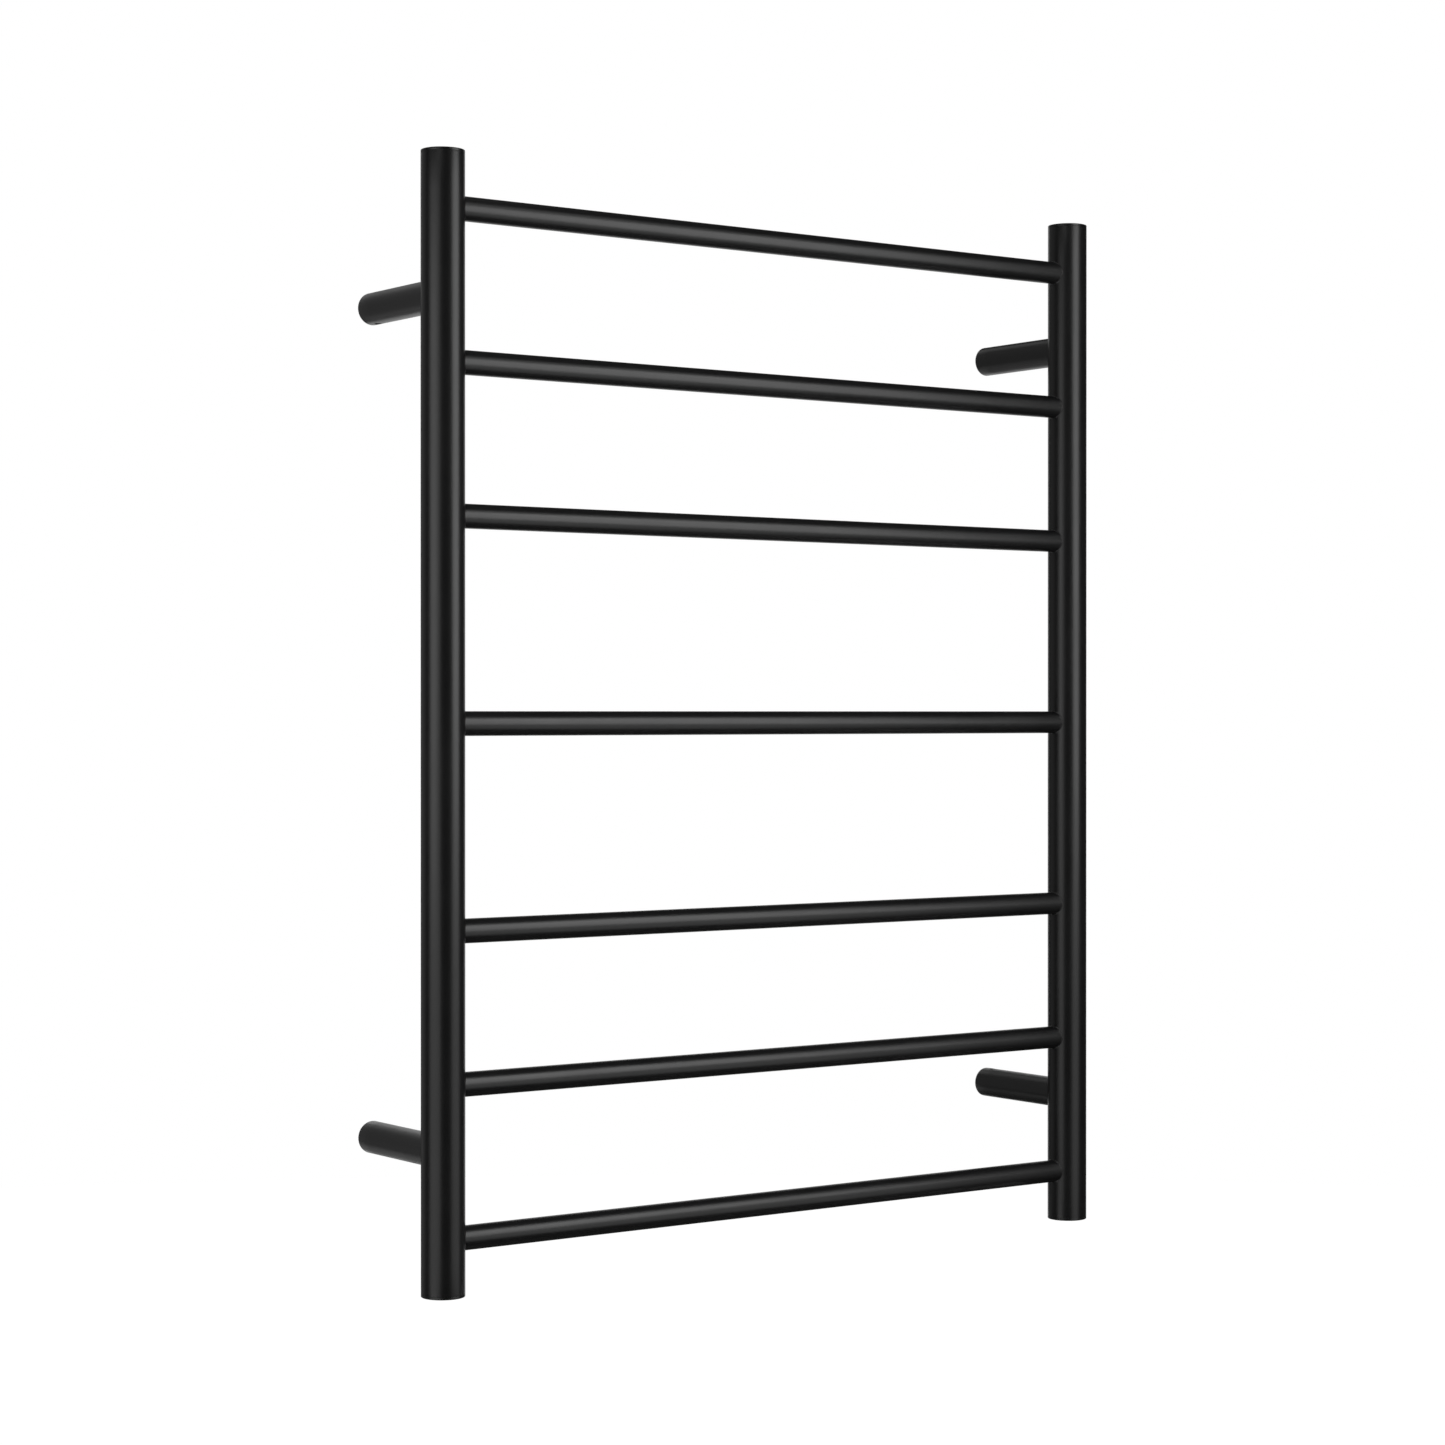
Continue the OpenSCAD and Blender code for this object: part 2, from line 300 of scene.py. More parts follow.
def standoff(corner):
    """A tube from a post to the wall, with the tapped hole of its grub screw."""
    side, level = corner.split("_")
    axis = Vector((POST_X[side], POST_Y, STANDOFF_Z[level]))
    point = polar(axis, Y, X)
    bore = STANDOFF_R - STANDOFF_WALL
    length = WALL_Y - POST_Y
    grub_at = middle(f"grub_screw_{corner}").y - POST_Y
    near_hole = 2 * GRUB_R
    profile = [(grub_at - near_hole, STANDOFF_R)]
    profile += arc((length - STANDOFF_EDGE, STANDOFF_R - STANDOFF_EDGE), STANDOFF_EDGE,
                   90, 0, EDGE_STEPS)
    profile += arc((length - TUBE_EDGE, bore + TUBE_EDGE), TUBE_EDGE, 0, -90, EDGE_STEPS)
    profile += [(grub_at - near_hole, bore)]
    rings = weld_end(point, STANDOFF_R, 0, 1)[::-1]
    for distance, radius in profile:
        rings.append([point(distance, radius, angle) for angle in angles(TUBE_SEGMENTS)])
    rings.append(bore_end(point, bore, 0, 1))
    piece = skin(f"standoff_{corner}_fine", rings, closed=True)
    return cut(piece, [grub_hole(axis + Y * grub_at, grub_direction(corner))])


def grub_hole(place, outward):
    """The space of the tapped hole, with the small chamfer at its mouth."""
    hole_r = GRUB_R + GRUB_HOLE_GAP
    mouth = STANDOFF_R - GRUB_HOLE_CHAMFER
    past = 2 * MM
    # The chamfer starts lower to allow for the curve of the tube at the hole's rim
    sag = hole_r / 8
    profile = [(0, 0), (0, hole_r), (mouth - sag, hole_r),
               (mouth + past, hole_r + past + sag), (mouth + past, 0)]
    return turned("cutter", polar(place, outward, Y), profile, HOLE_SEGMENTS, False)


# ---- Posts and caps ----


def post(side):
    """An upright tube with a hole for each bar and one behind each standoff."""
    axis = Vector((POST_X[side], POST_Y, 0))
    bore = POST_R - POST_WALL
    inward = X if side == "left" else -X
    near_hole = BAR_R + 2 * WELD_LEG
    heights = [middle(node).z for node in BARS] + list(STANDOFF_Z.values())
    levels = sorted(z + gap for z in heights for gap in (-near_hole, near_hole))
    profile = arc((-POST_TOP + TUBE_EDGE, POST_R - TUBE_EDGE), TUBE_EDGE, 180, 90, EDGE_STEPS)
    profile += [(z, POST_R) for z in levels]
    profile += arc((POST_TOP - TUBE_EDGE, POST_R - TUBE_EDGE), TUBE_EDGE, 90, 0, EDGE_STEPS)
    profile += [(POST_TOP, bore)] + [(z, bore) for z in levels[::-1]] + [(-POST_TOP, bore)]
    piece = turned(f"post_{side}_fine", polar(axis, Z, X), profile, POST_SEGMENTS)
    cutters = []
    for node in BARS:
        place = axis + Z * middle(node).z
        cutters.append(cutter_rod(place, inward, Z, 0, 2 * POST_R, BAR_R - BAR_WALL))
    for z in STANDOFF_Z.values():
        cutters.append(cutter_rod(axis + Z * z, Y, Z, 0, 2 * POST_R, BACK_HOLE_R))
    return cut(piece, cutters)


def end_cap(corner):
    """A disc with a rounded rim and a skirt that sits in the post."""
    side, level = corner.split("_")
    outward = Z if level == "top" else -Z
    point = polar(Vector((POST_X[side], POST_Y, 0)), outward, X)
    skirt = POST_R - POST_WALL - CAP_SKIRT_GAP
    inner = skirt - CAP_SKIRT_WALL
    foot = POST_TOP - CAP_SKIRT
    profile = [(POST_TOP, 0), (POST_TOP, inner), (foot, inner), (foot, skirt),
               (POST_TOP, skirt)]
    profile += arc((POST_TOP + TUBE_EDGE, POST_R - TUBE_EDGE), TUBE_EDGE, 180, 90, EDGE_STEPS)
    profile += arc((CAP_TOP - CAP_EDGE, POST_R - CAP_EDGE), CAP_EDGE, 90, 0, FILLET_STEPS)
    profile += [(CAP_TOP, 0)]
    return turned(f"end_cap_{corner}_fine", point, profile, POST_SEGMENTS, False)


# ---- Threaded pieces ----

THREAD_ROWS = 14
# Depth of a thread as a share of its pitch, and its root and flank as shares of half a pitch
THREAD_DEPTH = 0.61
THREAD_ROOT = 0.22
THREAD_FLANK = 0.63
GRUB_PITCH = 0.8 * MM
GRUB_EDGE = 0.4 * MM
HEX_KEY_AF = 2.5 * MM
HEX_KEY_DEPTH = 2.0 * MM
HEX_KEY_CHAMFER = 0.15 * MM
CUP_R = 1.25 * MM
CUP_DEPTH = 0.4 * MM
SCREW_SEGMENTS = 48


def thread_radius(distance, angle, outer, pitch):
    """Radius of a metric thread with a flat crest and a flat root."""
    phase = abs(2 * ((distance / pitch - angle / TURN) % 1) - 1)
    ridge = min(1, max(0, (phase - THREAD_ROOT) / THREAD_FLANK))
    return outer - THREAD_DEPTH * pitch * (1 - ridge)


def threaded_rings(point, start, end, outer, pitch, edge):
    """Rings of a thread from start to end, with both ends tapered by edge."""
    rings = []
    rows = round((end - start) / pitch * THREAD_ROWS)
    for row in range(rows + 1):
        distance = start + (end - start) * row / rows
        taper = outer - edge + min(distance - start, end - distance)
        rings.append([
            point(distance, min(taper, thread_radius(distance, angle, outer, pitch)), angle)
            for angle in angles(SCREW_SEGMENTS)
        ])
    return rings


def hexagon_radius(across_flats, angle):
    """Distance from a hexagon's centre to its outline at an angle."""
    sector = TURN / 6
    return across_flats / 2 / math.cos((angle + sector / 2) % sector - sector / 2)


def grub_screw(corner):
    """A socket set screw with a cup point, its thread and its hexagon socket."""
    node = f"grub_screw_{corner}"
    outward = grub_direction(corner)
    length = extent(node).z
    tip = middle(node) - outward * length / 2
    point = polar(tip, outward, X)
    socket = length - HEX_KEY_DEPTH
    rings = [[point(CUP_DEPTH, 0, 0)],
             [point(0, CUP_R, angle) for angle in angles(SCREW_SEGMENTS)]]
    rings += threaded_rings(point, 0, length, GRUB_R, GRUB_PITCH, GRUB_EDGE)
    for distance, scale in ((length, 1.1), (length - HEX_KEY_CHAMFER, 1), (socket, 1)):
        rings.append([point(distance, hexagon_radius(HEX_KEY_AF, angle) * scale, angle)
                      for angle in angles(SCREW_SEGMENTS)])
    rings.append([point(socket - HEX_KEY_AF / 4, 0, 0)])
    return skin(f"{node}_fine", rings, sharp_deg=25)


# ---- Wall bosses ----

BOSS_EDGE = 0.5 * MM
SCREW_HOLE_R = 2.5 * MM
SCREW_HEAD_R = 5 * MM
LEAD_SLOT_W = 7 * MM
LEAD_SLOT_FLOOR = 5.6 * MM
FINE_EDGE = 0.15 * MM


def soften(piece, width, sharp_deg=30):
    """Rounds the sharp edges that the cuts have left."""
    bevel = piece.modifiers.new("soft_edges", "BEVEL")
    bevel.width = width
    bevel.segments = 3
    bevel.limit_method = "ANGLE"
    bevel.angle_limit = math.radians(sharp_deg)
    bevel.harden_normals = True
    return piece


def wall_boss(corner):
    """A turned boss with two flats, a countersunk hole and the lead's slot."""
    node = f"wall_boss_{corner}"
    low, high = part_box(node)
    centre = Vector((POST_X[corner.split("_")[0]], WALL_Y, middle(node).z))
    length = high.y - low.y
    radius = centre.x - low.x
    sink = SCREW_HEAD_R - SCREW_HOLE_R
    profile = [(0, SCREW_HOLE_R), (0, radius)]
    profile += arc((length - BOSS_EDGE, radius - BOSS_EDGE), BOSS_EDGE, 90, 0, EDGE_STEPS)
    profile += [(length, SCREW_HEAD_R), (length - sink, SCREW_HOLE_R)]
    piece = turned(f"{node}_fine", polar(centre, -Y, X), profile, TUBE_SEGMENTS)
    past = X * radius + Y * length
    flat = Z * (high.z - centre.z)
    cutters = []
    for up in (flat, -flat):
        corners = (centre + up - 2 * past, centre + 2 * up + 2 * past)
        cutters.append(box_between(Vector(map(min, *corners)), Vector(map(max, *corners))))
    slot = Vector((LEAD_SLOT_FLOOR, 0, LEAD_SLOT_W / 2))
    cutters.append(box_between(centre + Vector((slot.x, -2 * length, -slot.z)),
                               centre + Vector((2 * radius, length, slot.z))))
    return soften(cut(piece, cutters), FINE_EDGE)


# ---- Heating cable ----

CABLE_SEGMENTS = 24
BEND_STEPS = 12
CABLE_BEND_R = 12 * MM
CABLE_EDGE = 0.4 * MM
END_SEAL_GRIP = 8 * MM


def cable_corners():
    """Corners of the serpentine, from the splice to the dead end."""
    # The cable lies this far below the axis of each bar
    drop = middle("bar_1").z - (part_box("heating_cable")[1].z - CABLE_R)
    start = Vector((POST_X["left"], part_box("splice_sleeve")[0].y, STANDOFF_Z["bottom"]))
    corners = [start, Vector((start.x, POST_Y, start.z))]
    side = "left"
    for node in reversed(BARS):
        level = middle(node).z - drop
        corners.append(Vector((POST_X[side], POST_Y, level)))
        side = "right" if side == "left" else "left"
        corners.append(Vector((POST_X[side], POST_Y, level)))
    corners.append(Vector((POST_X[side], POST_Y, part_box("cable_end_seal")[1].z - END_SEAL_GRIP)))
    return corners


def rounded_route(corners, bend_r):
    """The corners joined by straight runs and quarter bends: (point, direction) pairs."""
    route = [(corners[0], (corners[1] - corners[0]).normalized())]
    for before, corner, after in zip(corners, corners[1:], corners[2:]):
        arrive = (corner - before).normalized()
        leave = (after - corner).normalized()
        centre = corner + (leave - arrive) * bend_r
        for step in range(BEND_STEPS + 1):
            angle = math.pi / 2 * step / BEND_STEPS
            spoke = arrive * math.sin(angle) - leave * math.cos(angle)
            heading = arrive * math.cos(angle) + leave * math.sin(angle)
            route.append((centre + spoke * bend_r, heading))
    route.append((corners[-1], (corners[-1] - corners[-2]).normalized()))
    return route


def tube_along(name, route, radius, edge):
    """A round solid along a route, with softly rounded ends."""
    rings = []
    across = X if abs(route[0][1].dot(X)) < 0.9 else Z
    for index, (place, heading) in enumerate(route):
        across = (across - heading * across.dot(heading)).normalized()
        point = polar(place, heading, across)
        last = index == len(route) - 1
        profile = [(0, radius)]
        if index == 0:
            profile = [(0, 0)] + arc((edge, radius - edge), edge, 180, 90, EDGE_STEPS)
        elif last:
            profile = arc((-edge, radius - edge), edge, 90, 0, EDGE_STEPS) + [(0, 0)]
        for distance, wide in profile:
            steps = angles(CABLE_SEGMENTS) if wide > 0 else [0]
            rings.append([point(distance, wide, angle) for angle in steps])
    return skin(name, rings)


def heating_cable():
    route = rounded_route(cable_corners(), CABLE_BEND_R)
    return tube_along("heating_cable_fine", route, CABLE_R, CABLE_EDGE)


def cable_end_seal():
    """Shrunk tube over the dead end, necked where it grips and pinched shut below."""
    low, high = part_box("cable_end_seal")
    radius = (high.x - low.x) / 2
    length = high.z - low.z
    gap = 0.02 * MM
    wall = 0.8 * MM
    lip = 0.35 * MM
    dome = 2 * MM
    shoulder = 0.15 * MM
    slope = 1 * MM
    bore = CABLE_R + gap
    neck = bore + wall
    grip = length - END_SEAL_GRIP
    profile = [(0, 0)] + arc((dome, radius - dome), dome, 180, 90, FILLET_STEPS)
    profile += [(grip - 3 * slope, radius), (grip - slope, radius - shoulder),
                (grip + slope, neck)]
    profile += arc((length - lip, neck - lip), lip, 90, 0, EDGE_STEPS)
    profile += [(length, bore), (grip, bore), (grip, 0)]
    axis = Vector((POST_X["right"], POST_Y, low.z))
    return turned("cable_end_seal_fine", polar(axis, Z, X), profile, HOLE_SEGMENTS, False)


# ---- Pieces in the wired standoff ----

LEAD_HOLE_R = 3.3 * MM
LEAD_ENTRY = 12 * MM
GROMMET_GROOVE = 1.2 * MM


def wired_axis(node):
    """Axis of the wired standoff, from the wall side of a piece towards the post."""
    start = Vector((POST_X["left"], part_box(node)[1].y, STANDOFF_Z["bottom"]))
    return polar(start, -Y, X)


def splice_sleeve():
    """Shrunk tube with soft shoulders and a slight waist over the joint inside."""
    radius = extent("splice_sleeve").x / 2
    length = extent("splice_sleeve").y
    shoulder = 2.5 * MM
    waist = 0.25 * MM
    lip = 0.5 * MM
    profile = [(LEAD_ENTRY, 0), (LEAD_ENTRY, LEAD_HOLE_R)]
    profile += arc((lip, LEAD_HOLE_R + lip), lip, 270, 180, EDGE_STEPS)
    profile += arc((shoulder, radius - shoulder), shoulder, 180, 90, FILLET_STEPS)
    steps = 12
    for step in range(1, steps):
        distance = shoulder + (length - 2 * shoulder) * step / steps
        profile.append((distance, radius - waist * math.sin(math.pi * step / steps) ** 2))
    profile += arc((length - shoulder, radius - shoulder), shoulder, 90, 0, FILLET_STEPS)
    profile.append((length, 0))
    point = wired_axis("splice_sleeve")
    return turned("splice_sleeve_fine", point, profile, HOLE_SEGMENTS, False)


def cable_grommet():
    """Rubber bush with two round lips and a groove between them."""
    radius = extent("cable_grommet").x / 2
    length = extent("cable_grommet").y
    lip = length / 3
    edge = lip * 0.45
    groove = radius - GROMMET_GROOVE
    profile = [(edge, LEAD_HOLE_R)] + arc((edge, LEAD_HOLE_R + edge), edge, 270, 180, EDGE_STEPS)
    for start in (0, 2 * lip):
        profile += arc((start + edge, radius - edge), edge, 180, 90, EDGE_STEPS)
        profile += arc((start + lip - edge, radius - edge), edge, 90, 0, EDGE_STEPS)
        if start == 0:
            profile += [(lip, groove), (2 * lip, groove)]
    profile += arc((length - edge, LEAD_HOLE_R + edge), edge, 0, -90, EDGE_STEPS)
    point = wired_axis("cable_grommet")
    return turned("cable_grommet_fine", point, profile, HOLE_SEGMENTS)


# ---- Earth connection in the left post ----

STUD_R = 2 * MM
STUD_PITCH = 0.7 * MM
STUD_TAPER = 0.5 * MM
STUD_WELD = 0.6 * MM
WASHER_EDGE = 0.15 * MM
EARTH_HOLE_R = 2.05 * MM
LUG_BARREL_R = 1.7 * MM
LUG_CRIMP = 0.3 * MM
NUT_AF = 7 * MM
NUT_CHAMFER = 0.5 * MM
# Width of the nut's round face as a share of the width across flats, and the cone's slope
NUT_FACE = 0.97
NUT_CONE_DEG = 30
EARTH_Z = STANDOFF_Z["bottom"]


def earth_axis(y):
    """The earth stud's axis, from the given y towards the wall."""
    return polar(Vector((POST_X["left"], y, EARTH_Z)), Y, X)


def rim(start, end, inner, outer, edge):
    """Profile of a flat ring with four rounded edges."""
    profile = arc((start + edge, inner + edge), edge, 270, 180, EDGE_STEPS)
    profile += arc((start + edge, outer - edge), edge, 180, 90, EDGE_STEPS)
    profile += arc((end - edge, outer - edge), edge, 90, 0, EDGE_STEPS)
    return profile + arc((end - edge, inner + edge), edge, 0, -90, EDGE_STEPS)


def earth_stud():
    """A threaded stud on a collar, welded to the curve of the post's inner wall."""
    point = earth_axis(POST_Y)
    bore = POST_R - POST_WALL
    collar = extent("earth_stud").x / 2
    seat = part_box("earth_lug")[0].y - POST_Y
    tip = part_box("earth_stud")[1].y - POST_Y
    edge = 2 * WASHER_EDGE
    rings = []
    for step in range(FILLET_STEPS + 1):
        share = step / FILLET_STEPS
        wide = collar + STUD_WELD * (1 - share) ** 2
        lift = STUD_WELD * share**2 - BURIED * (1 - share)
        rings.append([
            point(lift - math.sqrt(bore**2 - (wide * math.cos(angle)) ** 2), wide, angle)
            for angle in angles(SCREW_SEGMENTS)
        ])
    profile = arc((seat - edge, collar - edge), edge, 90, 0, EDGE_STEPS) + [(seat, STUD_R)]
    for distance, wide in profile:
        rings.append([point(distance, wide, angle) for angle in angles(SCREW_SEGMENTS)])
    rings += threaded_rings(point, seat, tip, STUD_R, STUD_PITCH, STUD_TAPER)
    rings = [[point(-bore - BURIED, 0, 0)]] + rings + [[point(tip, 0, 0)]]
    return skin("earth_stud_fine", rings, sharp_deg=25)


def earth_lug():
    """A ring terminal: the ring, its neck and the crimped barrel."""
    low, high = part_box("earth_lug")
    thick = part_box("earth_washer")[0].y - low.y
    rise = Z * (middle("earth_wire").z - EARTH_Z)
    ring = turned("earth_lug_fine", earth_axis(low.y),
                  rim(0, thick, EARTH_HOLE_R, (high.x - low.x) / 2, WASHER_EDGE), HOLE_SEGMENTS)
    centre = Vector((POST_X["left"], low.y, EARTH_Z))
    inset = Vector((LUG_BARREL_R * 0.96, thick * 0.04, 0))
    neck = box_between(centre - X * inset.x + Y * inset.y + rise / 2,
                       centre + X * inset.x + Y * (thick - inset.y) + rise)
    wire_r = extent("earth_wire").z / 2
    length = high.y - low.y
    mouth = 0.2 * MM
    barrel = [(thick * 0.1, 0)]
    barrel += arc((thick * 0.1 + mouth, LUG_BARREL_R - mouth), mouth, 180, 90, EDGE_STEPS)
    for share, dent in ((0.35, 0), (0.45, LUG_CRIMP), (0.65, LUG_CRIMP), (0.75, 0)):
        barrel.append((length * share, LUG_BARREL_R - dent))
    barrel += arc((length - mouth, LUG_BARREL_R - mouth), mouth, 90, 0, EDGE_STEPS)
    barrel += [(length, wire_r), (thick, wire_r), (thick, 0)]
    tube = turned("barrel", polar(centre + rise, Y, X), barrel, HOLE_SEGMENTS, False)
    return combine(ring, [neck, tube], "UNION")


def earth_washer():
    low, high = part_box("earth_washer")
    profile = rim(0, high.y - low.y, EARTH_HOLE_R, (high.x - low.x) / 2, WASHER_EDGE)
    return turned("earth_washer_fine", earth_axis(low.y), profile, HOLE_SEGMENTS)


def earth_nut():
    """A hexagon nut with turned chamfers on both faces."""
    low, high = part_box("earth_nut")
    point = earth_axis(low.y)
    length = high.y - low.y
    rows = 6
    rings = [[point(NUT_CHAMFER, EARTH_HOLE_R, angle) for angle in angles(TUBE_SEGMENTS)]]
    rings.append([point(0, EARTH_HOLE_R + NUT_CHAMFER, angle) for angle in angles(TUBE_SEGMENTS)])
    chamfer = [NUT_CHAMFER * row / rows for row in range(rows + 1)]
    for distance in chamfer + [length - gap for gap in chamfer[::-1]]:
        end = min(distance, length - distance)
        widest = NUT_AF / 2 * NUT_FACE + end / math.tan(math.radians(NUT_CONE_DEG))
        rings.append([point(distance, min(widest, hexagon_radius(NUT_AF, angle)), angle)
                      for angle in angles(TUBE_SEGMENTS)])
    rings.append([point(length, EARTH_HOLE_R + NUT_CHAMFER, angle)
                  for angle in angles(TUBE_SEGMENTS)])
    rings.append([point(length - NUT_CHAMFER, EARTH_HOLE_R, angle)
                  for angle in angles(TUBE_SEGMENTS)])
    return skin("earth_nut_fine", rings, closed=True, sharp_deg=25)


def earth_wire():
    low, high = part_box("earth_wire")
    centre = (low + high) / 2
    route = [(Vector((centre.x, y, centre.z)), Y) for y in (low.y, high.y)]
    return tube_along("earth_wire_fine", route, (high.x - low.x) / 2, WASHER_EDGE)


# ---- Materials ----


def new_material(name, **sockets):
    """A Principled material with constants on its own sockets."""
    material = bpy.data.materials.new(name)
    material.use_nodes = True
    shader = material.node_tree.nodes["Principled BSDF"]
    for socket, value in sockets.items():
        shader.inputs[socket.replace("_", " ")].default_value = value
    return material, material.node_tree, shader


def node_with(tree, kind, **values):
    """A shader node with values for its sockets and settings."""
    node = tree.nodes.new(kind)
    for key, value in values.items():
        name = key.replace("_", " ")
        if name in node.inputs:
            node.inputs[name].default_value = value
        else:
            setattr(node, key, value)
    return node


def place_of(tree, stretch=(1, 1, 1)):
    """The surface point in the rack's own frame, stretched along each axis."""
    where = tree.nodes.new("ShaderNodeTexCoord")
    mapping = node_with(tree, "ShaderNodeMapping", Scale=stretch)
    tree.links.new(where.outputs["Object"], mapping.inputs["Vector"])
    return mapping.outputs["Vector"]


def noise(tree, size, detail=2.0, roughness=0.5, stretch=(1, 1, 1)):
    """Noise whose features are about size metres across."""
    texture = node_with(tree, "ShaderNodeTexNoise", Scale=1 / size, Detail=detail,
                        Roughness=roughness)
    tree.links.new(place_of(tree, stretch), texture.inputs["Vector"])
    return texture.outputs["Fac"]


def between(tree, factor, low, high, start=0.3, end=0.7):
    """Maps a factor from start..end to low..high."""
    mapped = node_with(tree, "ShaderNodeMapRange", From_Min=start, From_Max=end,
                       To_Min=low, To_Max=high)
    tree.links.new(factor, mapped.inputs["Value"])
    return mapped.outputs["Result"]


def tint(tree, factor, first, second):
    """A colour that goes from first to second with the factor."""
    mix = tree.nodes.new("ShaderNodeMix")
    mix.data_type = "RGBA"
    mix.inputs["A"].default_value = (*first, 1)
    mix.inputs["B"].default_value = (*second, 1)
    tree.links.new(factor, mix.inputs["Factor"])
    return mix.outputs["Result"]


def bump(tree, shader, *layers):
    """Stacks bump layers of (height, depth in metres) on the shader."""
    normal = None
    for height, depth in layers:
        node = node_with(tree, "ShaderNodeBump", Strength=1.0, Distance=depth)
        tree.links.new(height, node.inputs["Height"])
        if normal:
            tree.links.new(normal, node.inputs["Normal"])
        normal = node.outputs["Normal"]
    tree.links.new(normal, shader.inputs["Normal"])


def powder_coat():
    """Satin black polyester powder: fine orange peel and a slightly uneven sheen."""
    material, tree, shader = new_material("satin_black_powder_coat", Specular_IOR_Level=0.5)
    cloud = noise(tree, 45 * MM, detail=3)
    tree.links.new(tint(tree, cloud, (0.0052, 0.0052, 0.0053), (0.0078, 0.0078, 0.0080)),
                   shader.inputs["Base Color"])
    tree.links.new(between(tree, cloud, 0.30, 0.34), shader.inputs["Roughness"])
    peel = noise(tree, 1.6 * MM, detail=1.5)
    grain = noise(tree, 0.3 * MM, detail=2)
    bump(tree, shader, (peel, 0.030 * MM), (grain, 0.006 * MM))
    return material


def metal(name, size, colors, roughness, depth, marks=None):
    """Bare or plated metal, mottled at the given size, with optional tooling marks."""
    material, tree, shader = new_material(name, Metallic=1.0)
    mottle = noise(tree, size, detail=4)
    tree.links.new(tint(tree, mottle, *colors), shader.inputs["Base Color"])
    tree.links.new(between(tree, mottle, *roughness), shader.inputs["Roughness"])
    layers = [(mottle, depth)]
    if marks:
        layers.append(marks(tree))
    bump(tree, shader, *layers)
    return material


def turning_marks(tree):
    """Fine grooves round the axis of each boss, on its face and its flank alike."""
    where = tree.nodes.new("ShaderNodeTexCoord")
    mirrored = node_with(tree, "ShaderNodeVectorMath", operation="ABSOLUTE")
    centred = node_with(tree, "ShaderNodeVectorMath", operation="SUBTRACT")
    centred.inputs[1].default_value = (POST_X["right"], 0, STANDOFF_Z["top"])
    split = tree.nodes.new("ShaderNodeSeparateXYZ")
    flat = tree.nodes.new("ShaderNodeCombineXYZ")
    radius = node_with(tree, "ShaderNodeVectorMath", operation="LENGTH")
    path = node_with(tree, "ShaderNodeMath", operation="SUBTRACT")
    line = tree.nodes.new("ShaderNodeCombineXYZ")
    # At scale 1 the texture's wave runs through 20 radians in a metre
    pitch = 0.3 * MM
    wave = node_with(tree, "ShaderNodeTexWave", Scale=TURN / 20 / pitch, Distortion=0.6)
    for source, target in (
        (where.outputs["Object"], mirrored.inputs[0]),
        (mirrored.outputs[0], centred.inputs[0]),
        (centred.outputs[0], split.inputs[0]),
        (split.outputs["X"], flat.inputs["X"]),
        (split.outputs["Z"], flat.inputs["Z"]),
        (flat.outputs[0], radius.inputs[0]),
        (radius.outputs["Value"], path.inputs[0]),
        (split.outputs["Y"], path.inputs[1]),
        (path.outputs[0], line.inputs["X"]),
        (line.outputs[0], wave.inputs["Vector"]),
    ):
        tree.links.new(source, target)
    return wave.outputs["Fac"], 0.002 * MM


def soft(name, size, colors, roughness, depth, stretch=(1, 1, 1), specular=0.5, pattern=None):
    """Rubber or plastic with a fine grain, which stretch can draw out into creases.

    The two colours follow soft patches, or the pattern where one is given.
    """
    material, tree, shader = new_material(name, Specular_IOR_Level=specular)
    grain = noise(tree, size, detail=3, stretch=stretch)
    patch = noise(tree, 12 * size, detail=2)
    spread = pattern(tree) if pattern else patch
    tree.links.new(tint(tree, spread, *colors), shader.inputs["Base Color"])
    tree.links.new(between(tree, patch, *roughness), shader.inputs["Roughness"])
    bump(tree, shader, (grain, depth))
    return material


def side_stripes(tree):
    """A stripe along each side of the earth wire: 1 on it and 0 between them."""
    where = tree.nodes.new("ShaderNodeTexCoord")
    split = tree.nodes.new("ShaderNodeSeparateXYZ")
    offset = node_with(tree, "ShaderNodeMath", operation="SUBTRACT")
    offset.inputs[1].default_value = POST_X["left"]
    side = node_with(tree, "ShaderNodeMath", operation="ABSOLUTE")
    tree.links.new(where.outputs["Object"], split.inputs[0])
    tree.links.new(split.outputs["X"], offset.inputs[0])
    tree.links.new(offset.outputs[0], side.inputs[0])
    wire_r = extent("earth_wire").x / 2
    return between(tree, side.outputs[0], 0, 1, 0.74 * wire_r, 0.78 * wire_r)


